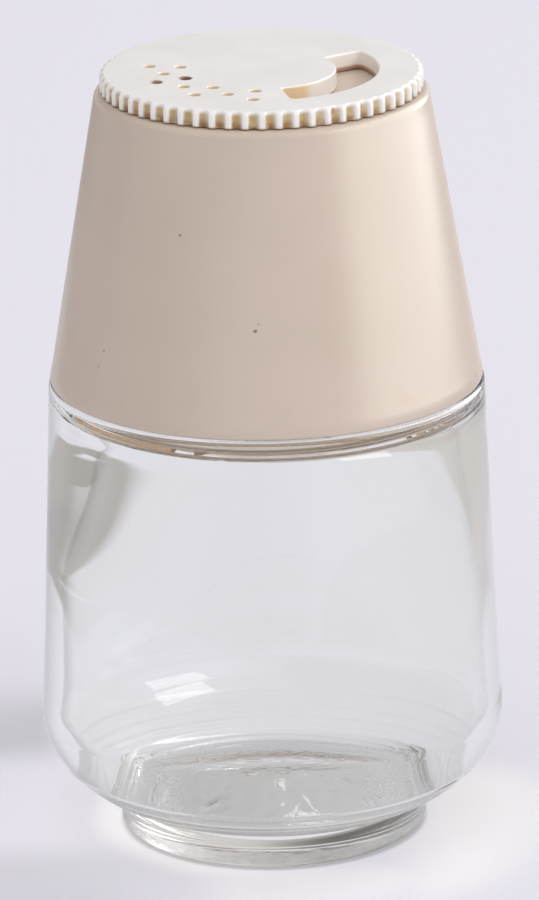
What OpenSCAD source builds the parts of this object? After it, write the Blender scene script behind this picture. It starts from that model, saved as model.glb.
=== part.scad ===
// Glass table shaker for ground spice: jar, screw-on conical cap and a
// knurled dial that turns between shut, pour and shake. Millimetres, Z up,
// rest face of the foot on z = 0, front of the shaker towards -Y.

/* [Jar] */
// widest diameter of the glass belly
belly_d = 63.5; // [61:0.5:68]
// height of the widest point of the belly
belly_z = 17; // [15:0.5:20]
// diameter of the waist between foot and belly
waist_d = 45.2; // [44.4:0.2:48]
// how far the foot draws in from the waist down to the table
foot_taper = 1.5; // [0.8:0.1:2.2]
// height of the waist above the table
waist_z = 5.5; // [4.5:0.5:6.5]
// how steeply the belly springs from the waist: near 1 is flat, larger is steeper
spring_k = 1.22; // [1.08:0.01:1.4]
// rounding of the foot's lower edge
foot_edge_r = 1; // [0.5:0.1:1.4]
// depth of the hollow under the foot
foot_hollow = 1.2; // [0.6:0.1:2]
// width of the ring that the foot stands on
foot_ring = 3.6; // [2.6:0.1:5]
// how far the shoulder below the cap lies inside the belly
shoulder_in = 2.05; // [1.4:0.05:2.4]
// rounding of the shoulder edge below the cap
shoulder_r = 1.5; // [1:0.1:2]
// height of the ledge that the cap comes down to
ledge_z = 64; // [60:1:72]
// thickness of the belly glass
glass_t = 2; // [1.6:0.1:2.6]
// height of the inside floor above the table
floor_z = 5.5; // [4.5:0.25:7.5]
// diameter of the flat inside floor
floor_d = 29.6; // [26:0.4:32]
// how far above the widest point the inside bowl ends
bowl_rise = 1; // [0:0.5:3]
// thickness of the glass at the inside corner under the shoulder
shoulder_wall = 5.4; // [4.6:0.1:6]
// height of the shoulder glass between inside corner and ledge
shoulder_h = 4.4; // [3.8:0.1:5.4]
// slope of the inside ceiling up to the mouth, in degrees
ceiling_slope = 28; // [20:1:34]
// height of the neck above the ledge
neck_h = 10.2; // [9:0.2:12]
// thickness of the neck between mouth and thread
neck_wall = 4.5; // [3.6:0.1:5]

/* [Cap] */
// how far the cap's lower edge lies inside the shoulder
cap_inset = 0.25; // [0:0.05:0.6]
// outside diameter of the cap at its top edge
cap_top_d = 45; // [44.6:0.2:47]
// height of the cap without the dial
cap_h = 40.45; // [38:0.05:46]
// rounding of the cap's top edge
cap_edge_r = 1; // [0.6:0.1:1.2]
// wall of the cone
cap_wall = 1.8; // [1.5:0.1:2]
// wall left outside the collar at its upper end
collar_wall = 1.75; // [1.5:0.05:2.4]
// thickness of the deck under the dial
deck_t = 2; // [1.6:0.1:2.6]
// thickness of the inside web that presses on the liner
web_t = 1.5; // [1.2:0.1:2]
// how far the web stays back from the mouth
web_back = 0.2; // [0:0.1:0.6]
// inner radius of the port in the deck
port_in_r = 9.8; // [9.6:0.1:10]
// outer radius of the port in the deck
port_out_r = 16.3; // [16.1:0.1:16.6]
// angle that the port spans
port_span = 108; // [106:1:110]
// direction of the middle of the port
port_dir = 98.5; // [90:0.5:105]

/* [Liner] */
// thickness of the ring between glass lip and web
liner_t = 1; // [0.8:0.1:1.4]
// how far the ring stays back from the mouth
liner_back = 0.4; // [0.2:0.1:1]

/* [Dial] */
// how far the knurled edge lies inside the cap's top edge
dial_inset = 0.7; // [0.4:0.1:1.2]
// thickness of the dial
dial_t = 2.4; // [2:0.1:3]
// rounding of the dial's top edge
dial_edge_r = 0.75; // [0.6:0.05:1]
// number of flutes round the edge
flutes = 60; // [48:4:66]
// radius of one flute
flute_r = 0.85; // [0.7:0.05:0.9]
// depth of one flute
flute_depth = 0.6; // [0.4:0.05:0.8]
// inner radius of the pour slot
slot_in_r = 10.1; // [10:0.1:10.4]
// outer radius of the pour slot
slot_out_r = 15.8; // [15.5:0.1:16]
// angle that the pour slot spans
slot_span = 107.7; // [104:0.1:108]
// corner rounding of the pour slot and of the port
slot_corner_r = 0.7; // [0.4:0.1:1]
// diameter of one shake hole
hole_d = 1.6; // [1.2:0.1:1.8]
// radius of the inner row of holes
row_in_r = 11; // [10.9:0.1:11.2]
// radius of the middle row of holes
row_mid_r = 13.2; // [13.1:0.1:13.3]
// radius of the outer row of holes
row_out_r = 15.2; // [15:0.1:15.3]
// angle between two holes of one row
hole_pitch = 31.5; // [29:0.5:31.5]
// turn from shut to pour and from shut to shake
dial_step = 120; // [118:1:122]
// diameter of the stem that holds the dial in the deck
stem_d = 6; // [5:0.2:7]
// how far each barb of the stem reaches out
barb_out = 0.5; // [0.3:0.05:0.7]
// height of the barbs
barb_h = 1.6; // [1.2:0.1:2]
// slit that lets the stem spring together
slit_w = 1.2; // [0.8:0.1:1.6]

/* [Fits] */
// space between cap edge and ledge when the cap is tight
ledge_gap = 0.2; // [0.1:0.05:0.3]
// space on each face of the liner
liner_gap = 0.1; // [0.05:0.01:0.15]
// radial space between liner and collar
liner_clear = 0.38; // [0.1:0.02:0.5]
// radial running clearance of the cap on the neck
thread_clear = 0.08; // [0.04:0.01:0.1]
// space between dial and deck
dial_gap = 0.15; // [0.1:0.01:0.25]
// radial running clearance of the stem in the deck
stem_clear = 0.05; // [0.03:0.01:0.1]
// space between the barbs and the deck
barb_gap = 0.15; // [0.1:0.01:0.25]

/* [Hidden] */
$fn = 96;
cut = 1;
lip_z = ledge_z + neck_h;
liner_z = lip_z + liner_gap;
web_z = liner_z + liner_t + liner_gap;
cap_z = ledge_z + ledge_gap;
deck_z = cap_z + cap_h;
dial_z = deck_z + dial_gap;
top_z = dial_z + dial_t;
belly_r = belly_d / 2;
foot_d = waist_d - 2 * foot_taper;
foot_hollow_r = foot_d / 2 - foot_edge_r - foot_ring;
shoulder_d = belly_d - 2 * shoulder_in;
cap_base_d = shoulder_d - 2 * cap_inset;
cone_k = (cap_base_d - cap_top_d) / 2 / cap_h;
collar_r = cap_base_d / 2 - (web_z - cap_z) * cone_k - collar_wall;
neck_d = 2 * (collar_r - thread_clear);
mouth_d = neck_d - 2 * neck_wall;
web_d = mouth_d + 2 * web_back;
liner_in_d = mouth_d + 2 * liner_back;
liner_out_d = 2 * (collar_r - liner_clear);
dial_d = cap_top_d - 2 * dial_inset;
inner_r = belly_r - glass_t;
bowl_z = belly_z + bowl_rise;
corner_r = shoulder_d / 2 - shoulder_wall;
corner_z = ledge_z - shoulder_h;
ceiling_z = corner_z + 0.8 + (corner_r - mouth_d / 2 - 1) * tan(ceiling_slope);
slot_dir = port_dir - dial_step;
shake_dir = port_dir + dial_step;
stem_r = stem_d / 2;

function cone_r(z) = cap_base_d / 2 - (z - cap_z) * cone_k;
function pol(r, a) = [r * cos(a), r * sin(a)];

// ---- glass jar ----

// outside of the belly below its widest point: the upper end of an ellipse's quarter
spring_a = acos(1 / spring_k);
spring_w = (belly_r - waist_d / 2) / (1 - sin(spring_a));
function under(t) = [
    belly_r - spring_w * (1 - sin(spring_a + (90 - spring_a) * t)),
    belly_z - spring_k * (belly_z - waist_z) * cos(spring_a + (90 - spring_a) * t)];

// outside of the belly above its widest point
function side(t) = [
    belly_r + (shoulder_d / 2 - belly_r) * pow(t, 0.85),
    belly_z + (ledge_z - shoulder_r - belly_z) * t];

// inside, from the floor up to the widest point
function bowl(a) = [
    floor_d / 2 + (inner_r - floor_d / 2) * sin(a),
    bowl_z - (bowl_z - floor_z) * cos(a)];

// inside of the side wall, thicker and thicker towards the shoulder
function wall(t) = [
    inner_r - (inner_r - corner_r) * pow(t, 1.8),
    bowl_z + (corner_z - bowl_z) * t];

// inside corner under the shoulder and the ceiling that slopes up to the mouth
function ceiling() = [
    [mouth_d / 2, ceiling_z + 0.9],
    [mouth_d / 2 + 0.12, ceiling_z + 0.35],
    [mouth_d / 2 + 0.5, ceiling_z],
    [corner_r - 0.5, corner_z + 0.8],
    [corner_r - 0.15, corner_z + 0.45]];

module glass_jar() {
    color([0.86, 0.89, 0.9, 0.45])
    rotate_extrude($fn = 128)
    polygon(concat(
        [[0, foot_hollow]],
        [for (t = [0.4:0.2:1]) [(foot_hollow_r - 1.2) * t, foot_hollow * (1 - 0.4 * pow(t - 0.4, 2))]],
        [[foot_hollow_r, 0], [foot_d / 2 - foot_edge_r, 0]],
        [for (a = [30:30:90])
            [foot_d / 2 - foot_edge_r * (1 - sin(a)), foot_edge_r * (1 - cos(a))]],
        [for (i = [0:11]) under(i / 12)],
        [for (i = [0:12]) side(i / 12)],
        [for (a = [22.5:22.5:90])
            [shoulder_d / 2 - shoulder_r * (1 - cos(a)), ledge_z - shoulder_r * (1 - sin(a))]],
        [[neck_d / 2, ledge_z], [neck_d / 2, lip_z - 0.8]],
        [[neck_d / 2 - 0.8, lip_z], [mouth_d / 2 + 0.6, lip_z]],
        [[mouth_d / 2, lip_z - 0.6]],
        ceiling(),
        [for (i = [12:-1:1]) wall(i / 12)],
        [for (a = [90:-7.5:0]) bowl(a)],
        [[0, floor_z]]));
}

// ---- ring between glass and cap ----

module sealing_liner() {
    color([0.8, 0.76, 0.66])
    translate([0, 0, liner_z])
    difference() {
        cylinder(d = liner_out_d, h = liner_t);
        translate([0, 0, -cut])
        cylinder(d = liner_in_d, h = liner_t + 2 * cut);
    }
}

// ---- flat shapes shared by dial and deck ----

// points on an arc round c, from direction a to direction b in n steps
function arc(c, r, a, b, n) = [for (i = [0:n]) c + pol(r, a + (b - a) * i / n)];

// ring sector with rounded corners
module kidney(ri, ro, dir, span, rc) {
    a0 = dir - span / 2;
    a1 = dir + span / 2;
    di = asin(rc / (ri + rc));
    do = asin(rc / (ro - rc));
    polygon(concat(
        arc([0, 0], ro, a0 + do, a1 - do, 36),
        arc(pol(ro - rc, a1 - do), rc, a1 + 18, a1 + 90, 4),
        arc(pol(ri + rc, a1 - di), rc, a1 + 108, a1 - di + 180, 4),
        arc([0, 0], ri, a1 - di - 2, a0 + di + 2, 30),
        arc(pol(ri + rc, a0 + di), rc, a0 + di + 180, a0 + 252, 4),
        arc(pol(ro - rc, a0 + do), rc, a0 + 270, a0 + 342, 4)));
}

// ---- screw-on cap ----

// half section of the cap, with the port and the stem hole still to cut
module cap_section() {
    polygon(concat(
        [[collar_r, cap_z], [cap_base_d / 2, cap_z]],
        [for (a = [0:30:90])
            [cone_r(deck_z) - cap_edge_r * (1 - cos(a)), deck_z - cap_edge_r * (1 - sin(a))]],
        [[0, deck_z], [0, deck_z - deck_t]],
        [[cone_r(deck_z) - cap_wall - 1, deck_z - deck_t]],
        [[cone_r(deck_z - deck_t - 1) - cap_wall, deck_z - deck_t - 1]],
        [[cone_r(web_z + web_t + 1) - cap_wall, web_z + web_t + 1]],
        [[cone_r(web_z + web_t + 1) - cap_wall - 1, web_z + web_t]],
        [[web_d / 2, web_z + web_t], [web_d / 2, web_z], [collar_r, web_z]]));
}

module cap_shell() {
    color([0.84, 0.78, 0.71])
    difference() {
        rotate_extrude($fn = 128)
        cap_section();
        translate([0, 0, deck_z - deck_t - cut])
        linear_extrude(height = deck_t + 2 * cut)
        kidney(port_in_r, port_out_r, port_dir, port_span, slot_corner_r);
        translate([0, 0, deck_z - deck_t - cut])
        cylinder(r = stem_r + stem_clear, h = deck_t + 2 * cut, $fn = 48);
    }
}

// ---- dial ----

module hole_row(r, n) {
    for (i = [0:n - 1])
        rotate([0, 0, shake_dir + (i - (n - 1) / 2) * hole_pitch])
        translate([r, 0])
        circle(d = hole_d, $fn = 20);
}

module dial_outline() {
    difference() {
        circle(d = dial_d, $fn = 120);
        for (i = [0:flutes - 1])
            rotate([0, 0, (i + 0.5) * 360 / flutes])
            translate([dial_d / 2 + flute_r - flute_depth, 0])
            circle(r = flute_r, $fn = 16);
        kidney(slot_in_r, slot_out_r, slot_dir, slot_span, slot_corner_r);
        hole_row(row_in_r, 4);
        hole_row(row_mid_r, 3);
        hole_row(row_out_r, 4);
    }
}

// solid of revolution that rounds the top edge of the dial
module dial_envelope() {
    rotate_extrude($fn = 96)
    polygon(concat(
        [[0, dial_z - cut], [dial_d / 2 + cut, dial_z - cut]],
        [[dial_d / 2 + cut, top_z - dial_edge_r], [dial_d / 2, top_z - dial_edge_r]],
        [for (a = [30:30:90])
            [dial_d / 2 - dial_edge_r * (1 - cos(a)), top_z - dial_edge_r * (1 - sin(a))]],
        [[0, top_z]]));
}

// stem with two barbs that hook under the deck
module stem() {
    barb_z = deck_z - deck_t - barb_gap;
    difference() {
        union() {
            translate([0, 0, barb_z - barb_h])
            cylinder(r = stem_r, h = dial_z - barb_z + barb_h + dial_t / 2, $fn = 48);
            translate([0, 0, barb_z - barb_h])
            cylinder(r1 = stem_r - 0.3, r2 = stem_r + barb_out, h = barb_h, $fn = 48);
        }
        translate([-slit_w / 2, -stem_d, barb_z - barb_h - cut])
        cube([slit_w, 2 * stem_d, barb_h + deck_t + cut]);
    }
}

module dial() {
    color([0.93, 0.91, 0.86])
    union() {
        intersection() {
            translate([0, 0, dial_z])
            linear_extrude(height = dial_t)
            dial_outline();
            dial_envelope();
        }
        stem();
    }
}

glass_jar();
sealing_liner();
cap_shell();
dial();
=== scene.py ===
"""Glass table shaker for ground spice: jar, liner, conical cap and knurled dial.

Lengths in the shaping code are millimetres and become metres on the way in.
The shaker stands on z = 0, its front faces -Y and its axis is the Z axis.
"""
import math

import bpy
from mathutils import Matrix, Vector, noise


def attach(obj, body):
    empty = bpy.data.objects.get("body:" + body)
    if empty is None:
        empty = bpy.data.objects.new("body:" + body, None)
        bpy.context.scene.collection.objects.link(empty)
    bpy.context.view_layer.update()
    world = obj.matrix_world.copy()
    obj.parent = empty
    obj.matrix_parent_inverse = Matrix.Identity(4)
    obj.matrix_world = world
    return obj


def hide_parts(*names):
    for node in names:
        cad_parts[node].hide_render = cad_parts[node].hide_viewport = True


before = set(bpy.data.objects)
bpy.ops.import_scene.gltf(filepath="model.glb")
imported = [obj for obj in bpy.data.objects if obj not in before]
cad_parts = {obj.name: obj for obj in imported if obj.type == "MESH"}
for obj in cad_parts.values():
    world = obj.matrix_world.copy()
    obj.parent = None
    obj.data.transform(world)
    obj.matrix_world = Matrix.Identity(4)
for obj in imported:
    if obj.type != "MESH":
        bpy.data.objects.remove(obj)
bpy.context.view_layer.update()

MM = 0.001
TURN = 2 * math.pi

# ---- sizes, the same as the solids have ----

BELLY_R = 31.75
BELLY_Z = 17.0
BELLY_STRETCH = 1.22
WAIST_R = 22.6
WAIST_Z = 5.5
FOOT_R = 21.1
FOOT_EDGE = 1.4
HOLLOW_R = 17.6
HOLLOW_DEPTH = 1.5
RING_IN_R = 19.2
SHOULDER_R = 29.7
SHOULDER_ROUND = 0.7
LEDGE_Z = 64.0
LIP_Z = 74.2
MOUTH_R = 21.2
FLOOR_Z = 5.5
FLOOR_R = 17.0
BOWL_Z = 18.0
BOWL_R = 29.4
CORNER_Z = 59.3
WALL_TAPER = 5.35
SIDE_WAVE = 0.0099
LOW_EVEN_Z = 26.8  # between these two heights the wall is thinner at its sides than in front
HIGH_EVEN_Z = 47.7
MOULD_LINES = [(10.4, 0.09), (8.5, 0.06), (7.2, 0.08), (6.3, 0.05)]  # height and how far each stands out
MOULD_LINE_WIDTH = 0.28
THREAD_ROOT_R = 25.0
THREAD_CREST_R = 26.25
THREAD_PITCH = 5.08
THREAD_TURNS = 1.45
THREAD_HALF_WIDTH = 1.15
COLLAR_ROOT_R = 26.55
COLLAR_CREST_R = 25.3

LINER_LOW, LINER_HIGH = 74.3, 75.3
LINER_IN_R, LINER_OUT_R = 21.6, 25.4
WEB_Z = 75.4
WEB_R = 21.4
CAP_Z = 64.2
CAP_BASE_R = 29.45
CAP_TOP_R = 22.5
DECK_Z = 104.65
DECK_T = 2.0
CAP_WALL = 1.8
CAP_TOP_ROUND = 1.1
CAP_BASE_ROUND = 0.3
DECK_FILLET = 1.5
WEB_T = 1.5
PORT_IN_R, PORT_OUT_R, PORT_SPAN = 9.8, 16.3, 108
BEARING_R = 3.05

DIAL_Z = 104.8
TOP_Z = 107.2
DIAL_R = 21.8
FLUTES = 60
FLUTE_R = 0.86
FLUTE_DEPTH = 0.62
SLOT_IN_R, SLOT_OUT_R, SLOT_SPAN = 10.1, 15.8, 107.7
HOLE_R = 0.8
HOLE_ROWS = ((11.0, 4), (13.2, 3), (15.2, 4))
HOLE_STEP = 31.5
STEM_R = 3.0
PORT_DIR = 98.5
SLOT_DIR = PORT_DIR - 120
SHAKE_DIR = PORT_DIR + 120


# ---- small helpers ----

def apply_modifier(piece, modifier):
    """Makes a modifier part of the mesh."""
    bpy.context.view_layer.objects.active = piece
    bpy.ops.object.modifier_apply(modifier=modifier.name)


def pick(piece):
    """Selects one object alone and makes it the active one."""
    bpy.ops.object.select_all(action="DESELECT")
    piece.select_set(True)
    bpy.context.view_layer.objects.active = piece


def clean(piece):
    """Merges doubles and turns every face outwards."""
    pick(piece)
    bpy.ops.object.mode_set(mode="EDIT")
    bpy.ops.mesh.select_all(action="SELECT")
    bpy.ops.mesh.remove_doubles(threshold=0.0005 * MM)
    bpy.ops.mesh.normals_make_consistent(inside=False)
    bpy.ops.object.mode_set(mode="OBJECT")


def smooth(piece, degrees):
    """Shades a piece smooth except at edges sharper than this."""
    pick(piece)
    bpy.ops.object.shade_smooth_by_angle(angle=math.radians(degrees))


def polar(r, degrees):
    """The point at a radius and a direction."""
    a = math.radians(degrees)
    return (r * math.cos(a), r * math.sin(a))


def draw_chain(name, points):
    """A chain of edges through (radius, height) points in the XZ plane."""
    bpy.ops.object.select_all(action="DESELECT")
    bpy.ops.mesh.primitive_plane_add(size=MM)
    piece = bpy.context.object
    piece.name = name
    bpy.ops.object.mode_set(mode="EDIT")
    bpy.ops.mesh.select_all(action="SELECT")
    bpy.ops.mesh.merge(type="CENTER")
    for _ in points[1:]:
        bpy.ops.mesh.extrude_region_move(TRANSFORM_OT_translate={"value": (MM, 0, 0)})
    bpy.ops.object.mode_set(mode="OBJECT")
    for vertex, (r, z) in zip(piece.data.vertices, points):
        vertex.co = (r * MM, 0, z * MM)
    return piece


def turned(name, points, steps):
    """Turns a chain round the axis into a closed skin."""
    piece = draw_chain(name, points)
    screw = piece.modifiers.new("turn", "SCREW")
    screw.steps = steps
    screw.render_steps = steps
    screw.use_merge_vertices = True
    screw.merge_threshold = 0.0005 * MM
    apply_modifier(piece, screw)
    clean(piece)
    return piece


def stacked(name, outlines):
    """Extrudes a filled ring upwards through outlines, each a list of (x, y, z)."""
    bpy.ops.object.select_all(action="DESELECT")
    count = len(outlines[0])
    bpy.ops.mesh.primitive_circle_add(vertices=count, radius=MM, fill_type="NGON")
    piece = bpy.context.object
    piece.name = name
    for vertex, (x, y, z) in zip(piece.data.vertices, outlines[0]):
        vertex.co = (x * MM, y * MM, z * MM)
    for outline_shade in outlines[1:]:
        bpy.ops.object.mode_set(mode="EDIT")
        bpy.ops.mesh.extrude_region_move(TRANSFORM_OT_translate={"value": (0, 0, MM)})
        bpy.ops.object.mode_set(mode="OBJECT")
        for vertex, (x, y, z) in zip(piece.data.vertices[-count:], outline_shade):
            vertex.co = (x * MM, y * MM, z * MM)
    clean(piece)
    return piece


def cut_away(piece, cutters):
    """Cuts each cutter out of the piece and deletes the cutters."""
    for cutter in cutters:
        boolean = piece.modifiers.new("cut", "BOOLEAN")
        boolean.operation = "DIFFERENCE"
        boolean.solver = "EXACT"
        boolean.object = cutter
        apply_modifier(piece, boolean)
    for cutter in cutters:
        bpy.data.objects.remove(cutter, do_unlink=True)


def ease(t):
    """Goes softly from 0 to 1 while t does."""
    return (1 - math.cos(math.pi * min(max(t, 0.0), 1.0))) / 2


def between(z, table):
    """Reads a value from (height, value) pairs, straight between them."""
    if z <= table[0][0]:
        return table[0][1]
    for (z0, v0), (z1, v1) in zip(table, table[1:]):
        if z <= z1:
            return v0 + (v1 - v0) * (z - z0) / (z1 - z0)
    return table[-1][1]


# ---- glass jar ----

def foot_points():
    """The hollow under the foot, its bearing ring and the round of its edge."""
    for i in range(0, 25):
        yield (HOLLOW_R * i / 24, HOLLOW_DEPTH * (1 - (i / 24) ** 2) ** 1.6)
    yield (RING_IN_R, 0.0)
    for i in range(0, 7):
        a = math.radians(15 * i)
        yield (FOOT_R - FOOT_EDGE + FOOT_EDGE * math.sin(a), FOOT_EDGE - FOOT_EDGE * math.cos(a))


def outside_points():
    """From the foot up over the belly to the shoulder."""
    for i in range(1, 7):
        t = i / 7
        yield (FOOT_R + (WAIST_R - FOOT_R) * t ** 1.6 - 0.25 * math.sin(math.pi * t),
               FOOT_EDGE + (WAIST_Z - 0.6 - FOOT_EDGE) * t)
    spring = math.acos(1 / BELLY_STRETCH)
    width = (BELLY_R - WAIST_R) / (1 - math.sin(spring))
    for i in range(0, 72):
        a = spring + (math.pi / 2 - spring) * i / 72
        z = BELLY_Z - BELLY_STRETCH * (BELLY_Z - WAIST_Z) * math.cos(a)
        line = sum(high * math.exp(-((z - at) / MOULD_LINE_WIDTH) ** 2) for at, high in MOULD_LINES)
        yield (BELLY_R - width * (1 - math.sin(a)) + line, z - line)
    for i in range(0, 33):
        t = i / 32
        yield (BELLY_R + (SHOULDER_R - BELLY_R) * t ** 0.85,
               BELLY_Z + (LEDGE_Z - SHOULDER_ROUND - BELLY_Z) * t)
    for i in range(1, 7):
        a = math.radians(15 * i)
        yield (SHOULDER_R - SHOULDER_ROUND * (1 - math.cos(a)),
               LEDGE_Z - SHOULDER_ROUND * (1 - math.sin(a)))


def neck_points():
    """The neck without its thread, up and over the rim."""
    yield (THREAD_ROOT_R + 0.6, LEDGE_Z)
    yield (THREAD_ROOT_R + 0.15, LEDGE_Z + 0.15)
    for i in range(0, 44):
        yield (THREAD_ROOT_R, LEDGE_Z + 0.5 + 0.2 * i)
    for i in range(0, 5):
        a = math.radians(22.5 * i)
        yield (THREAD_ROOT_R - 0.8 * (1 - math.cos(a)), LIP_Z - 0.8 * (1 - math.sin(a)))
    for i in range(0, 5):
        a = math.radians(90 - 22.5 * i)
        yield (MOUTH_R + 0.6 * (1 - math.cos(a)), LIP_Z - 0.6 * (1 - math.sin(a)))


# inside radius over height in the corner under the shoulder
CEILING = [(CORNER_Z, BOWL_R - WALL_TAPER), (59.6, 24.0), (60.05, 23.9), (60.3, 23.6), (60.85, 21.75),
           (61.3, 21.3), (61.8, 21.2)]


def inner_r(z):
    """Inside radius of the wall in front and at the back, which thickens towards the shoulder."""
    if z > CORNER_Z:
        return between(z, CEILING)
    return BOWL_R - WALL_TAPER * max(0.0, (z - BOWL_Z) / (CORNER_Z - BOWL_Z)) ** 1.25


def side_swell(z):
    """How much thicker the wall is at its left and right sides than in front; below 0 it is thinner."""
    up = (z - BOWL_Z) / (CORNER_Z - BOWL_Z)
    if not 0 < up < 1:
        return 0.0
    return SIDE_WAVE * up * (1 - up) * (z - LOW_EVEN_Z) * (z - HIGH_EVEN_Z)


def inside_points():
    """From the mouth down the inner wall and round the bowl to the middle of the floor."""
    for z in (71, 69, 67, 65, 63.5, 61.8, 61.55, 61.3, 61.08, 60.85, 60.71, 60.57, 60.44, 60.3, 60.18,
              60.05, 59.85, 59.6, CORNER_Z, 58.9, 58.45, 58):
        yield (inner_r(z), z)
    for i in range(1, 36):
        z = 58 - (58 - BOWL_Z) * i / 36
        yield (inner_r(z), z)
    for i in range(60, -1, -1):
        a = math.pi / 2 * i / 60
        r = FLOOR_R + (BOWL_R - FLOOR_R) * math.sin(a)
        bead = 0.14 * math.exp(-((r - 19.6) / 0.45) ** 2)
        yield (r, BOWL_Z - (BOWL_Z - FLOOR_Z) * math.cos(a) + bead)
    for i in range(26, -1, -1):
        yield ((FLOOR_R - 0.5) * i / 26, FLOOR_Z)


def thread_bump(angle, z, low, high):
    """Height from 0 to 1 of one turn and a half of rounded thread."""
    turns = (z - low) / THREAD_PITCH
    phase = angle / TURN
    best = 0.0
    for wrap in (-1, 0, 1, 2, 3):
        along = phase + wrap
        if not 0.0 <= along <= THREAD_TURNS:
            continue
        off = (turns - along) * THREAD_PITCH - 1.2
        ridge = max(0.0, 1 - (abs(off) / THREAD_HALF_WIDTH) ** 2) ** 0.8
        run_in = ease(min(along, THREAD_TURNS - along) / 0.05)
        best = max(best, ridge * run_in)
    return best if low < z < high else 0.0


def wall_shift(z):
    """How far the inner wall sits towards +X, because the glass is uneven."""
    return 0.21 * ease((z - 8) / 12) + 0.62 * ease((z - 36) / 16) - 0.83 * ease((z - 57.5) / 4.5)


def shape_jar(piece):
    """Raises the thread and makes wall and floor uneven, as pressed glass is."""
    for vertex in piece.data.vertices:
        x, y, z = (c / MM for c in vertex.co)
        r = math.hypot(x, y)
        if r < 0.01:
            continue
        a = math.atan2(y, x) % TURN
        if z > LEDGE_Z + 0.45 and abs(r - THREAD_ROOT_R) < 0.02:
            r += (THREAD_CREST_R - THREAD_ROOT_R) * thread_bump(a, z, LEDGE_Z + 0.4, LIP_Z - 0.8)
        inner = FLOOR_Z + 0.05 < z < 62.3 and r < between(z, OUTER) - 0.9
        if inner:
            soft = ease((z - 8) / 12) * ease((61 - z) / 6)
            at = Vector((x, y, z * 0.6)) / 13.0
            r += 0.06 * soft * noise.noise(at) - side_swell(z) * abs(math.cos(a)) ** 6
        elif 7 < z < 62 and r > 24:
            at = Vector((x, y, z)) / 17.0 + Vector((9, 2, 5))
            r += 0.035 * ease((z - 7) / 6) * ease((62 - z) / 5) * (noise.noise(at) - 0.5)
        elif 4 < z <= FLOOR_Z + 0.05 and r < 15:
            z += 0.16 * noise.noise(Vector((x, y * 1.6, 0)) / 1.7) * ease((13.5 - r) / 4)
        elif z < 2 and r < 15:
            z += 0.12 * noise.noise(Vector((x, y, 7)) / 4.0) * ease((15 - r) / 5)
        x, y = r * math.cos(a), r * math.sin(a)
        if inner:
            x += wall_shift(z)
        vertex.co = (x * MM, y * MM, z * MM)


OUTER = [(z, r) for r, z in outside_points()]

jar_chain = [*foot_points(), *outside_points(), *neck_points(), *inside_points()]
glass_jar = turned("jar_glass", jar_chain, 192)
shape_jar(glass_jar)
smooth(glass_jar, 38)
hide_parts("glass_jar")
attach(glass_jar, "jar")
glass_jar.visible_shadow = False


# ---- sealing liner ----

def liner_points():
    low, high, edge = LINER_LOW, LINER_HIGH, 0.2
    yield (LINER_IN_R + edge, low)
    yield (LINER_OUT_R - edge, low)
    yield (LINER_OUT_R, low + edge)
    yield (LINER_OUT_R, high - edge)
    yield (LINER_OUT_R - edge, high)
    yield (LINER_IN_R + edge, high)
    yield (LINER_IN_R, high - edge)
    yield (LINER_IN_R, low + edge)
    yield (LINER_IN_R + edge, low)


liner = turned("liner_ring", list(liner_points()), 128)
smooth(liner, 50)
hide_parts("sealing_liner")
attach(liner, "lift")


# ---- cap ----

def cone_r(z):
    """Outside radius of the cap."""
    return CAP_BASE_R - (z - CAP_Z) * (CAP_BASE_R - CAP_TOP_R) / (DECK_Z - CAP_Z)


def cap_points():
    """Round the wall of the cap: outside up, deck, inside down, web and collar."""
    yield (COLLAR_ROOT_R + 0.35, CAP_Z)
    yield (28.2, CAP_Z)
    for i in range(0, 5):
        a = math.radians(22.5 * i)
        yield (CAP_BASE_R - CAP_BASE_ROUND + CAP_BASE_ROUND * math.sin(a),
               CAP_Z + CAP_BASE_ROUND * (1 - math.cos(a)))
    for i in range(1, 24):
        z = CAP_Z + CAP_BASE_ROUND + (DECK_Z - 1.15 - CAP_Z - CAP_BASE_ROUND) * i / 24
        yield (cone_r(z), z)
    for i in range(0, 9):
        a = math.radians(11.25 * i)
        yield (cone_r(DECK_Z - 1) - CAP_TOP_ROUND * (1 - math.cos(a)),
               DECK_Z - CAP_TOP_ROUND * (1 - math.sin(a)))
    for r in (20, 19, 17, 13, 9, 5, 0):
        yield (r, DECK_Z)
    yield (0, DECK_Z - DECK_T)
    yield (17, DECK_Z - DECK_T)
    for i in range(0, 5):
        a = math.radians(22.5 * i)
        yield (cone_r(DECK_Z - DECK_T - DECK_FILLET) - CAP_WALL - DECK_FILLET * (1 - math.sin(a)),
               DECK_Z - DECK_T - DECK_FILLET * (1 - math.cos(a)))
    for i in range(1, 10):
        z = DECK_Z - DECK_T - DECK_FILLET - (DECK_Z - DECK_T - DECK_FILLET - WEB_Z - 2.5) * i / 10
        yield (cone_r(z) - CAP_WALL, z)
    yield (cone_r(WEB_Z + 2.5) - CAP_WALL - 0.1, WEB_Z + 2.1)
    yield (cone_r(WEB_Z + 2.5) - CAP_WALL - 0.4, WEB_Z + 1.7)
    yield (cone_r(WEB_Z + 2.5) - CAP_WALL - 1.0, WEB_Z + WEB_T)
    yield (WEB_R + 0.25, WEB_Z + WEB_T)
    yield (WEB_R, WEB_Z + WEB_T - 0.25)
    yield (WEB_R, WEB_Z + 0.25)
    yield (WEB_R + 0.25, WEB_Z)
    yield (COLLAR_ROOT_R - 0.3, WEB_Z)
    yield (COLLAR_ROOT_R, WEB_Z - 0.3)
    for i in range(0, 51):
        yield (COLLAR_ROOT_R, WEB_Z - 0.5 - (WEB_Z - CAP_Z - 1.0) * i / 50)
    yield (COLLAR_ROOT_R + 0.35, CAP_Z)


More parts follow.
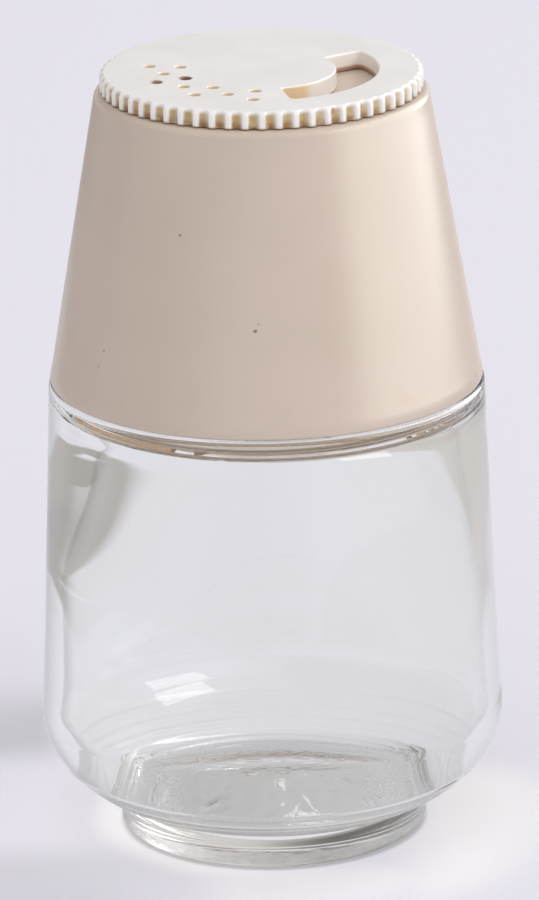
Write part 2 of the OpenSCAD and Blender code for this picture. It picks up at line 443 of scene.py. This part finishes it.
def shape_collar(piece):
    """Raises the thread inside the collar, half a turn from the neck's."""
    for vertex in piece.data.vertices:
        x, y, z = (c / MM for c in vertex.co)
        r = math.hypot(x, y)
        if abs(r - COLLAR_ROOT_R) < 0.02 and z < WEB_Z - 0.4:
            a = math.atan2(y, x)
            half_turn_on = (a + math.pi) % TURN
            ridge = thread_bump(half_turn_on, z, CAP_Z + 0.5, WEB_Z - 0.4)
            r -= (COLLAR_ROOT_R - COLLAR_CREST_R) * ridge
            vertex.co = (r * math.cos(a) * MM, r * math.sin(a) * MM, z * MM)


def arc(cx, cy, r, start, end, count):
    """Points along an arc, both ends included."""
    for i in range(count + 1):
        dx, dy = polar(r, start + (end - start) * i / count)
        yield (cx + dx, cy + dy)


def kidney(r_in, r_out, direction, span, corner, grow):
    """Outline of a bent slot with rounded corners, grown outwards by grow."""
    r_in, r_out, corner = r_in - grow, r_out + grow, corner + grow
    widen = math.degrees(grow / ((r_in + r_out) / 2))
    a0, a1 = direction - span / 2 - widen, direction + span / 2 + widen
    turn_in = math.degrees(math.asin(corner / (r_in + corner)))
    turn_out = math.degrees(math.asin(corner / (r_out - corner)))
    points = [*arc(0, 0, r_out, a0 + turn_out, a1 - turn_out, 48)]
    points += arc(*polar(r_out - corner, a1 - turn_out), corner, a1 + 15, a1 + 90, 5)
    points += arc(*polar(r_in + corner, a1 - turn_in), corner, a1 + 105, a1 - turn_in + 180, 5)
    points += arc(0, 0, r_in, a1 - turn_in - 2, a0 + turn_in + 2, 36)
    points += arc(*polar(r_in + corner, a0 + turn_in), corner, a0 + turn_in + 180, a0 + 255, 5)
    points += arc(*polar(r_out - corner, a0 + turn_out), corner, a0 + 270, a0 + 345, 5)
    return points


def kidney_cutter(name, r_in, r_out, direction, span, corner, levels):
    """A cutter whose outline grows as the levels say, a list of (height, growth)."""
    return stacked(name, [[(x, y, z) for x, y in kidney(r_in, r_out, direction, span, corner, grow)]
                          for z, grow in levels])


def round_cutter(name, x, y, r, levels, count):
    """A round cutter whose radius grows as the levels say."""
    return stacked(name, [[(px, py, z) for px, py in list(arc(x, y, r + grow, 0, 360, count))[:-1]]
                          for z, grow in levels])


cap = turned("cap_cone", list(cap_points()), 192)
shape_collar(cap)
port_levels = [(DECK_Z - 3, 0.0), (DECK_Z - 0.2, 0.0), (DECK_Z - 0.06, 0.06), (DECK_Z + 0.5, 0.5)]
port_cut = kidney_cutter("port_cut", PORT_IN_R, PORT_OUT_R, PORT_DIR, PORT_SPAN, 0.9, port_levels)
bearing_cut = round_cutter("bearing_cut", 0, 0, BEARING_R, [(DECK_Z - 3, 0.0), (DECK_Z + 1, 0.0)], 48)
cut_away(cap, [port_cut, bearing_cut])
smooth(cap, 35)
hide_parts("cap_shell")
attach(cap, "cap")


# ---- dial ----

PER_FLUTE = 10


def edge_round(z):
    """How far the rounded rim of the dial lies inside its full radius."""
    top_round, low_round = 0.75, 0.2
    if z > TOP_Z - top_round:
        t = (z - (TOP_Z - top_round)) / top_round
        return top_round * (1 - math.sqrt(max(0.0, 1 - t * t)))
    if z < DIAL_Z + low_round:
        t = (DIAL_Z + low_round - z) / low_round
        return low_round * (1 - math.sqrt(max(0.0, 1 - t * t)))
    return 0.0


def flute_depth(step):
    """Depth of the half-round flutes at one of the steps round the rim."""
    across = (step % PER_FLUTE) / PER_FLUTE - 0.5
    off = abs(across) * TURN * DIAL_R / FLUTES
    reach = math.sqrt(max(0.0, FLUTE_R ** 2 - off ** 2)) - (FLUTE_R - FLUTE_DEPTH)
    return max(0.0, reach)


def dial_ring(z):
    """Outline of the dial at a height, with its flutes and the round of its edge."""
    count = FLUTES * PER_FLUTE
    rounded = edge_round(z)
    ring = []
    for step in range(count):
        flute = flute_depth(step)
        inside = max(rounded, flute) + 0.12 * min(rounded, flute)
        ring.append((*polar(DIAL_R - inside, 360 * step / count), z))
    return ring


def shake_holes():
    """Centres of the shake holes, in three bent rows."""
    for r, count in HOLE_ROWS:
        for i in range(count):
            yield polar(r, SHAKE_DIR + (i - (count - 1) / 2) * HOLE_STEP)


rim_levels = [DIAL_Z + up for up in (0, 0.05, 0.12, 0.2, 0.8, 1.3)]
rim_levels += [TOP_Z - down for down in (0.75, 0.62, 0.5, 0.38, 0.28, 0.18, 0.1, 0.045, 0.015, 0)]
dial = stacked("dial_disc", [dial_ring(z) for z in rim_levels])

slot_levels = [(DIAL_Z - 1, 0.0), (TOP_Z - 0.25, 0.0), (TOP_Z - 0.17, 0.02), (TOP_Z - 0.1, 0.06),
               (TOP_Z - 0.04, 0.13), (TOP_Z + 0.3, 0.6)]
hole_levels = [(DIAL_Z - 1, 0.0), (TOP_Z - 0.12, 0.0), (TOP_Z - 0.05, 0.04), (TOP_Z + 0.3, 0.35)]
slot_cut = kidney_cutter("slot_cut", SLOT_IN_R, SLOT_OUT_R, SLOT_DIR, SLOT_SPAN, 0.7, slot_levels)
hole_cuts = [round_cutter("hole_cut", x, y, HOLE_R, hole_levels, 24) for x, y in shake_holes()]
cut_away(dial, [slot_cut, *hole_cuts])


def stem_points():
    """The stem under the dial with its snap head."""
    yield (0, DECK_Z - 3.8)
    yield (2.4, DECK_Z - 3.8)
    yield (2.7, DECK_Z - 3.6)
    yield (3.45, DECK_Z - 2.4)
    yield (3.5, DECK_Z - 2.25)
    yield (3.42, DECK_Z - 2.15)
    yield (STEM_R, DECK_Z - 2.15)
    yield (STEM_R, DIAL_Z + 0.8)
    yield (0, DIAL_Z + 0.8)


stem = turned("stem", list(stem_points()), 64)
bpy.ops.object.select_all(action="DESELECT")
bpy.ops.mesh.primitive_cube_add(size=1, location=(0, 0, (DECK_Z - 2.9) * MM),
                                scale=(1.2 * MM, 12 * MM, 5.8 * MM))
slit = bpy.context.object
bpy.ops.object.transform_apply(location=True, rotation=True, scale=True)
cut_away(stem, [slit])
join = dial.modifiers.new("join", "BOOLEAN")
join.operation = "UNION"
join.solver = "EXACT"
join.object = stem
apply_modifier(dial, join)
bpy.data.objects.remove(stem, do_unlink=True)
smooth(dial, 32)
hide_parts("dial")
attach(dial, "dial")


# ---- node helpers for the finishes ----

class Value:
    """A socket that can be used in sums."""

    def __init__(self, finish, socket):
        self.finish, self.socket = finish, socket

    def maths(self, operation, *others):
        return self.finish.node("ShaderNodeMath", {"operation": operation}, self, *others)

    def __add__(self, other):
        return self.maths("ADD", other)

    __radd__ = __add__

    def __mul__(self, other):
        return self.maths("MULTIPLY", other)

    __rmul__ = __mul__

    def __sub__(self, other):
        return self.maths("SUBTRACT", other)

    def __pow__(self, other):
        return self.maths("POWER", other)

    def high(self, other):
        return self.maths("MAXIMUM", other)


class Finish:
    """The nodes of one material, or of the world."""

    def __init__(self, name, tree=None):
        if tree is None:
            self.material = bpy.data.materials.new(name)
            self.material.use_nodes = True
            tree = self.material.node_tree
        self.tree = tree
        self.tree.nodes.clear()

    def node(self, kind, settings, *values, out=0, **named):
        """Adds a node, its settings first, then values or links for its sockets."""
        made = self.tree.nodes.new(kind)
        for key, value in settings.items():
            setattr(made, key, value)
        inputs = list(enumerate(values)) + list(named.items())
        for key, value in inputs:
            socket = made.inputs[key.replace("_", " ") if isinstance(key, str) else key]
            if isinstance(value, Value):
                self.tree.links.new(value.socket, socket)
            elif value is not None:
                if getattr(socket, "type", "") == "RGBA" and len(value) == 3:
                    value = (*value, 1)
                socket.default_value = value
        return Value(self, made.outputs[out])

    def place(self):
        """Object coordinates in millimetres."""
        where = self.node("ShaderNodeTexCoord", {}, out="Object")
        return self.node("ShaderNodeVectorMath", {"operation": "SCALE"}, where, Scale=1000.0)

    def split(self, vector):
        node = self.tree.nodes.new("ShaderNodeSeparateXYZ")
        self.tree.links.new(vector.socket, node.inputs[0])
        return [Value(self, node.outputs[i]) for i in range(3)]

    def speckle(self, where, scale, detail=2.0, rough=0.5):
        return self.node("ShaderNodeTexNoise", {}, Vector=where, Scale=scale, Detail=detail, Roughness=rough)

    def apart(self, where, spot):
        """Distance from one spot."""
        return self.node("ShaderNodeVectorMath", {"operation": "DISTANCE"}, where, spot, out="Value")

    def ramp(self, value, low, high):
        """0 before low, 1 past high, smooth between; low may lie above high."""
        settings = {"interpolation_type": "SMOOTHSTEP"}
        return self.node("ShaderNodeMapRange", settings, value, low, high, 0.0, 1.0)

    def mix(self, factor, first, second):
        node = self.tree.nodes.new("ShaderNodeMix")
        node.data_type = "RGBA"
        for index, value in ((0, factor), (6, first), (7, second)):
            if isinstance(value, Value):
                self.tree.links.new(value.socket, node.inputs[index])
            else:
                node.inputs[index].default_value = value if index == 0 else (*value, 1)
        return Value(self, node.outputs[2])

    def output(self, shader):
        out = self.tree.nodes.new("ShaderNodeOutputMaterial")
        self.tree.links.new(shader.socket, out.inputs["Surface"])

    def surface(self, **sockets):
        self.output(self.node("ShaderNodeBsdfPrincipled", {}, **sockets))

    def bump(self, height, distance, strength=1.0):
        return self.node("ShaderNodeBump", {}, Strength=strength, Distance=distance, Height=height)


def wear(piece, finish):
    piece.data.materials.clear()
    piece.data.materials.append(finish.material)


# ---- finishes ----

CONE_K = (CAP_BASE_R - CAP_TOP_R) / (DECK_Z - CAP_Z)  # how fast the cap narrows


def cone_point(degrees, z):
    """A point on the outside of the cap."""
    return (*polar(cone_r(z), degrees), z)


# stains on the cap and residue on the dial: place in mm, size, strength, colour
STAINS = [((28.7, -7.4, 66.0), 0.7, 0.75, (0.58, 0.26, 0.09)),
          (cone_point(-116.5, 90.7), 0.22, 0.8, (0.16, 0.10, 0.06)),
          (cone_point(-93.0, 78.7), 0.30, 0.8, (0.16, 0.10, 0.06)),
          (cone_point(-92.0, 79.6), 0.16, 0.6, (0.20, 0.13, 0.08)),
          (cone_point(-141.0, 73.4), 0.24, 0.7, (0.34, 0.20, 0.10)),
          (cone_point(-142.5, 71.2), 0.40, 0.4, (0.50, 0.33, 0.17))]
RESIDUE = [((-10.14, -4.0, 107.1), 0.95, 0.9, (0.13, 0.045, 0.018)),
           ((-14.02, -5.6, 107.1), 0.85, 0.8, (0.20, 0.09, 0.04)),
           ((9.25, -19.1, 106.5), 0.5, 0.8, (0.45, 0.20, 0.09))]


def clear_glass():
    """Clear glass, a little wavy, with painted shade at its outlines that is darker on the left, and a
    stippled ring under the foot.
    """
    finish = Finish("clear_glass")
    where = finish.place()
    x, y, z = finish.split(where)
    ripple = finish.speckle(where, 0.09, 1.0)
    radius = (x * x + y * y) ** 0.5
    grains = finish.speckle(where, 0.8, 3.0, 0.65) * finish.ramp(z, 2.0, 1.7)
    grains = grains * finish.ramp(radius, 11.0, 15.0) * finish.ramp(radius, 20.6, 20.0)
    # painted shade: the glass is coloured darker where it faces away at its outlines, and more so on its
    # left side
    facing = finish.node("ShaderNodeLayerWeight", {}, Blend=0.5, out="Facing")
    outline_shade = finish.ramp(facing, 0.62, 0.90) * (0.45 + 0.55 * finish.ramp(x, 8.0, -8.0))
    colour = finish.mix(outline_shade, (0.985, 0.99, 0.985), (0.30, 0.305, 0.30))
    finish.surface(Base_Color=colour, Roughness=0.0, IOR=1.5, Transmission_Weight=1.0,
                   Normal=finish.bump(ripple * 0.4 + grains * 9.0, 0.00002))
    return finish


def tan_plastic():
    """Satin light tan plastic, stained at its edges, whose inside faces glow with a warm painted light."""
    finish = Finish("tan_plastic")
    where = finish.place()
    x, y, z = finish.split(where)
    radius = (x * x + y * y) ** 0.5
    cloud = finish.speckle(where, 0.05, 2.0)
    colour = finish.mix(finish.ramp(cloud, 0.35, 0.65), (0.59, 0.495, 0.41), (0.615, 0.515, 0.43))
    smudge = finish.ramp(finish.speckle(where, 0.16, 4.0, 0.6), 0.60, 0.72)
    colour = finish.mix(smudge * finish.ramp(z, 72.0, 64.5) * 0.35, colour, (0.56, 0.42, 0.27))
    for spot, size, strength, shade in STAINS:
        ragged = finish.apart(where, spot) + finish.speckle(where, 1.1, 3.0, 0.7) * size
        near = finish.ramp(ragged, size * 1.6, size)
        colour = finish.mix(near * strength, colour, shade)
    grain = finish.speckle(where, 3.0, 3.0)
    # painted light: the inside faces low in the cap glow a warm brown, standing in for light that reaches
    # them through the glass
    outer = CAP_BASE_R + CAP_Z * CONE_K
    inside = finish.ramp(radius + z * CONE_K, outer - 1.1, outer - 1.5)
    inside = inside * finish.ramp(z, WEB_Z + 4.0, WEB_Z + 1.0)
    painted_inner_light = finish.mix(inside, (0.0, 0.0, 0.0), (0.21, 0.125, 0.06))
    finish.surface(Base_Color=colour, Roughness=0.23 + 0.06 * cloud, IOR=1.48, Emission_Color=painted_inner_light,
                   Emission_Strength=1.0, Normal=finish.bump(grain, 0.00001, 0.25))
    return finish


def ivory_plastic():
    """Glossy ivory plastic with painted shade in the flutes, heavier on one wall, and spice residue in the
    flutes, the holes and the slot.
    """
    finish = Finish("ivory_plastic")
    where = finish.place()
    x, y, z = finish.split(where)
    radius = (x * x + y * y) ** 0.5
    angle = finish.node("ShaderNodeMath", {"operation": "ARCTAN2"}, y, x)
    across = finish.node("ShaderNodeMath", {"operation": "FRACT"}, angle * (FLUTES / TURN) + FLUTES)
    cloud = finish.speckle(where, 0.12, 2.0)
    colour = finish.mix(finish.ramp(cloud, 0.35, 0.65), (0.87, 0.85, 0.83), (0.90, 0.885, 0.87))
    # the yellow tint over each flute valley is painted shade, heavier on one wall of each flute; the patchy
    # brown at the foot of the valleys is spice residue
    valley = finish.ramp(radius, 21.68, 21.3) * finish.ramp(radius, 20.6, 21.0)
    wall_shade_and_grime = 0.55 + 0.45 * finish.ramp(across, 0.10, 0.22) * finish.ramp(across, 0.86, 0.45)
    uneven = finish.speckle(where, 0.35, 3.0, 0.6)
    below = finish.ramp(z, TOP_Z - 0.1, TOP_Z - 0.8)
    colour = finish.mix(valley * below * wall_shade_and_grime * (0.55 + 0.8 * uneven), colour, (0.50, 0.365, 0.16))
    patchy = finish.ramp(finish.speckle(where, 0.55, 4.0, 0.65), 0.34, 0.52)
    low = finish.ramp(z, DIAL_Z + 1.3, DIAL_Z + 0.2)
    colour = finish.mix(valley * low * wall_shade_and_grime * patchy * 0.9, colour, (0.26, 0.115, 0.035))
    colour = finish.mix(finish.ramp(radius, 21.2, 21.5) * finish.ramp(z, DIAL_Z + 0.4, DIAL_Z + 0.1) * 0.6,
                        colour, (0.52, 0.38, 0.20))
    inside = finish.ramp(radius, 17.0, 16.6) * finish.ramp(z, TOP_Z - 0.03, TOP_Z - 0.2)
    shake_side = finish.ramp(x * -0.78 - y * 0.62, -1.0, 1.0)
    colour = finish.mix(inside * (0.25 + 0.65 * shake_side), colour,
                        finish.mix(shake_side, (0.80, 0.66, 0.44), (0.74, 0.55, 0.33)))
    rust = inside * finish.ramp(z, DIAL_Z + 0.75, DIAL_Z + 0.25) * finish.ramp(y, 1.0, 4.5)
    colour = finish.mix(rust * 0.85, colour, (0.36, 0.13, 0.035))
    for spot, size, strength, shade in RESIDUE:
        ragged = finish.apart(where, spot) + finish.speckle(where, 1.6, 3.0, 0.7) * size * 0.6
        near = finish.ramp(ragged, size * 1.5, size)
        colour = finish.mix(near * strength, colour, shade)
    finish.surface(Base_Color=colour, Roughness=0.30 + 0.10 * cloud, IOR=1.49,
                   Normal=finish.bump(finish.speckle(where, 4.0, 2.0), 0.00001, 0.2))
    return finish


def liner_board():
    """Soft fibrous board of the sealing ring."""
    finish = Finish("liner_board")
    where = finish.place()
    fibre = finish.speckle(where, 2.2, 5.0, 0.7)
    colour = finish.mix(fibre, (0.70, 0.65, 0.54), (0.82, 0.79, 0.70))
    finish.surface(Base_Color=colour, Roughness=0.8, Normal=finish.bump(fibre, 0.00005, 0.5))
    return finish


wear(glass_jar, clear_glass())
wear(cap, tan_plastic())
wear(dial, ivory_plastic())
wear(liner, liner_board())


# ---- stage ----

BACKDROP = (0.75, 0.745, 0.83)
ROOM = ((0.40, 0.375, 0.35), (0.62, 0.59, 0.57))  # left and right of the table, as the glass shows it


def pale_floor():
    """A matt floor with painted light and shadow round the jar; where the glass shows it, it looks evenly
    lit except for painted shade under the jar, with a dimmer room far off.
    """
    finish = Finish("pale_floor")
    x, y, _ = finish.split(finish.place())
    away = (x * x + y * y) ** 0.5
    # a painted pool of light close to the foot, a painted soft shadow at the left and a dark painted contact
    # shadow round the foot
    painted_light_pool = finish.ramp(away, 27, 22) * finish.ramp(y, 24, 2) * finish.ramp(x, 20, -16)
    painted_light_pool = painted_light_pool.high(finish.ramp(away, 46, 32) * finish.ramp(y, 26, 8) * finish.ramp(x, 12, 26))
    painted_light_pool = painted_light_pool.high(finish.ramp(y, -16, -24) * finish.ramp(away, 40, 30) * finish.ramp(x, -14, -4) * 0.6)
    colour = finish.mix(painted_light_pool, (0.84, 0.83, 0.91), (0.98, 0.97, 1.0))
    soft = finish.ramp(x, -27, -34) * finish.ramp(y, 18, 32) * finish.ramp(y, 62, 40) * 0.85
    soft = soft.high(finish.ramp(x, -4, -32) * finish.ramp(y, -6, -20) * 0.6) * finish.ramp(away, 85, 45)
    colour = finish.mix(soft, colour, (0.62, 0.615, 0.67))
    colour = finish.mix(finish.ramp(away, 21.6, 20.4) * 0.6, colour, (0.30, 0.30, 0.32))
    matt = finish.node("ShaderNodeBsdfDiffuse", {}, Color=colour)
    # what the glass and the sheen of the plastic show of the floor, with painted shade under and close to
    # the jar
    tone = finish.mix(finish.ramp(away, 17, 30), (0.53, 0.53, 0.535), (0.765, 0.76, 0.81))
    room = finish.mix(finish.ramp(x, -100, 100), *ROOM)
    beyond = finish.ramp(x, 110, 170).high(finish.ramp(y, 800, 950))
    beyond = beyond.high(finish.ramp(x, -170, -220) * finish.ramp(y, 370, 300) * finish.ramp(y, 60, 110))
    near_side = finish.ramp(x, -480, -380).high(finish.ramp(y, 450, 600))
    beyond = beyond.high(finish.ramp(x, -60, -150) * finish.ramp(y, 290, 350) * near_side)
    tone = finish.mix(beyond, tone, room)
    even = finish.node("ShaderNodeEmission", {}, Color=tone, Strength=1.0)
    path = finish.tree.nodes.new("ShaderNodeLightPath")
    through = Value(finish, path.outputs["Is Transmission Ray"])
    through = through.high(Value(finish, path.outputs["Is Glossy Ray"]))
    finish.output(finish.node("ShaderNodeMixShader", {}, through, matt, even))
    return finish


def bounce_card(name, place, width, height, strength):
    """An upright card, fading in from its near edge, that only shows as a sheen on the plastic."""
    bpy.ops.object.select_all(action="DESELECT")
    bpy.ops.mesh.primitive_plane_add(size=1, location=place, rotation=(0, math.pi / 2, 0))
    card = bpy.context.object
    card.name = name
    card.scale = (height, width, 1)
    card.visible_camera = card.visible_diffuse = card.visible_transmission = card.visible_shadow = False
    finish = Finish(name)
    along = finish.split(finish.node("ShaderNodeTexCoord", {}, out="Object"))[1]
    colour = finish.mix(finish.ramp(along, -0.5, -0.2), (0.0, 0.0, 0.0), (1.0, 0.99, 0.97))
    finish.output(finish.node("ShaderNodeEmission", {}, Color=colour, Strength=strength))
    wear(card, finish)


bpy.ops.object.select_all(action="DESELECT")
bpy.ops.mesh.primitive_plane_add(size=8)
floor = bpy.context.object
floor.name = "floor"
wear(floor, pale_floor())
bounce_card("bounce_right", (0.5, 0.06, 0.36), 1.4, 0.8, 5.2)

world = bpy.data.worlds.new("studio")
bpy.context.scene.world = world
world.use_nodes = True
sky = Finish("studio", world.node_tree)
direction = sky.node("ShaderNodeTexCoord", {}, out="Generated")
dx, dy, dz = sky.split(direction)
over = sky.ramp(dz * 0.85 - dy * 0.5, -0.1, 0.95)
light = sky.mix(sky.ramp(dx, -0.6, 0.8), (0.37, 0.345, 0.34), (0.46, 0.45, 0.45))
light = sky.mix(over * 0.9, light, (1.0, 0.99, 1.0))
path = sky.tree.nodes.new("ShaderNodeLightPath")
# the room as the glass shows it, by direction
room = sky.mix(sky.ramp(dx, -0.2, 0.2), *ROOM)
room = sky.mix(sky.ramp(dx, -0.56, -0.72), room, (0.55, 0.53, 0.51))
room = sky.mix(sky.ramp(dz, 0.0, 0.3) * sky.ramp(dx, 0.1, -0.3), room, (0.12, 0.12, 0.11))
room = sky.mix(sky.ramp(dx, 0.2, 0.45) * sky.ramp(dy, 0.2, -0.3), room, (1.0, 1.0, 1.0))
# a brighter room in the sheen of the plastic, right of its middle and along its edges
sweep = sky.ramp(dx * 0.95 - dy * 0.31, -0.03, 0.03) * sky.ramp(dy, 0.0, -0.1) * 0.6
sweep = sweep.high(sky.ramp(dy, 0.34, 0.44) * sky.ramp(dz, 0.2, 0.05))
light = sky.mix(Value(sky, path.outputs["Is Glossy Ray"]) * sweep, light,
                sky.mix(sky.ramp(dx, 0.2, 0.6), (1.0, 0.97, 0.93), (1.4, 1.35, 1.3)))
light = sky.mix(Value(sky, path.outputs["Is Transmission Ray"]), light, room)
light = sky.mix(Value(sky, path.outputs["Is Camera Ray"]), light, BACKDROP)
shine = sky.node("ShaderNodeBackground", {}, light, 1.0)
world_out = sky.tree.nodes.new("ShaderNodeOutputWorld")
sky.tree.links.new(shine.socket, world_out.inputs["Surface"])


def softbox(name, place, aim, width, height, power, colour=(1, 1, 1), mirrored=True):
    """A square lamp aimed at a point; mirrored says if it shows in reflections."""
    lamp = bpy.data.lights.new(name, "AREA")
    lamp.shape = "RECTANGLE"
    lamp.size, lamp.size_y = width, height
    lamp.energy, lamp.color = power, colour
    holder = bpy.data.objects.new(name, lamp)
    bpy.context.collection.objects.link(holder)
    holder.location = place
    holder.visible_glossy = mirrored
    holder.rotation_euler = (Vector(aim) - Vector(place)).to_track_quat("-Z", "Y").to_euler()


softbox("key_right", (1.32, -0.76, 1.25), (0, 0, 0.06), 1.05, 0.7, 9.6, (1.0, 0.99, 0.97), mirrored=False)
softbox("window_back", (0.22, 0.86, 1.05), (0, 0, 0.02), 0.34, 0.20, 1.0)

# ---- camera ----

DISTANCE = 1.0221
LOOK_DOWN = math.radians(18.24)
AIM_Z = 0.05328
ROLL = 0.0175
SIDE = 0.00022
FOCAL = 7485 / 900  # in frame heights
SENSOR = 36

ahead = Vector((0, math.cos(LOOK_DOWN), -math.sin(LOOK_DOWN)))
right = Vector((1, 0, 0))
above = right.cross(ahead)
tilted_right = right * math.cos(ROLL) - above * math.sin(ROLL)
tilted_above = above * math.cos(ROLL) + right * math.sin(ROLL)
lens = bpy.data.cameras.new("camera")
lens.sensor_width = SENSOR
lens.lens = FOCAL * SENSOR
camera = bpy.data.objects.new("camera", lens)
bpy.context.collection.objects.link(camera)
camera.matrix_world = Matrix((
    (tilted_right.x, tilted_above.x, -ahead.x, SIDE),
    (tilted_right.y, tilted_above.y, -ahead.y, -DISTANCE * math.cos(LOOK_DOWN)),
    (tilted_right.z, tilted_above.z, -ahead.z, AIM_Z + DISTANCE * math.sin(LOOK_DOWN)),
    (0, 0, 0, 1)))
bpy.context.scene.camera = camera
bpy.context.scene.view_settings.view_transform = "Standard"
bpy.context.scene.cycles.max_bounces = 28
bpy.context.scene.cycles.glossy_bounces = 14
bpy.context.scene.cycles.transmission_bounces = 24
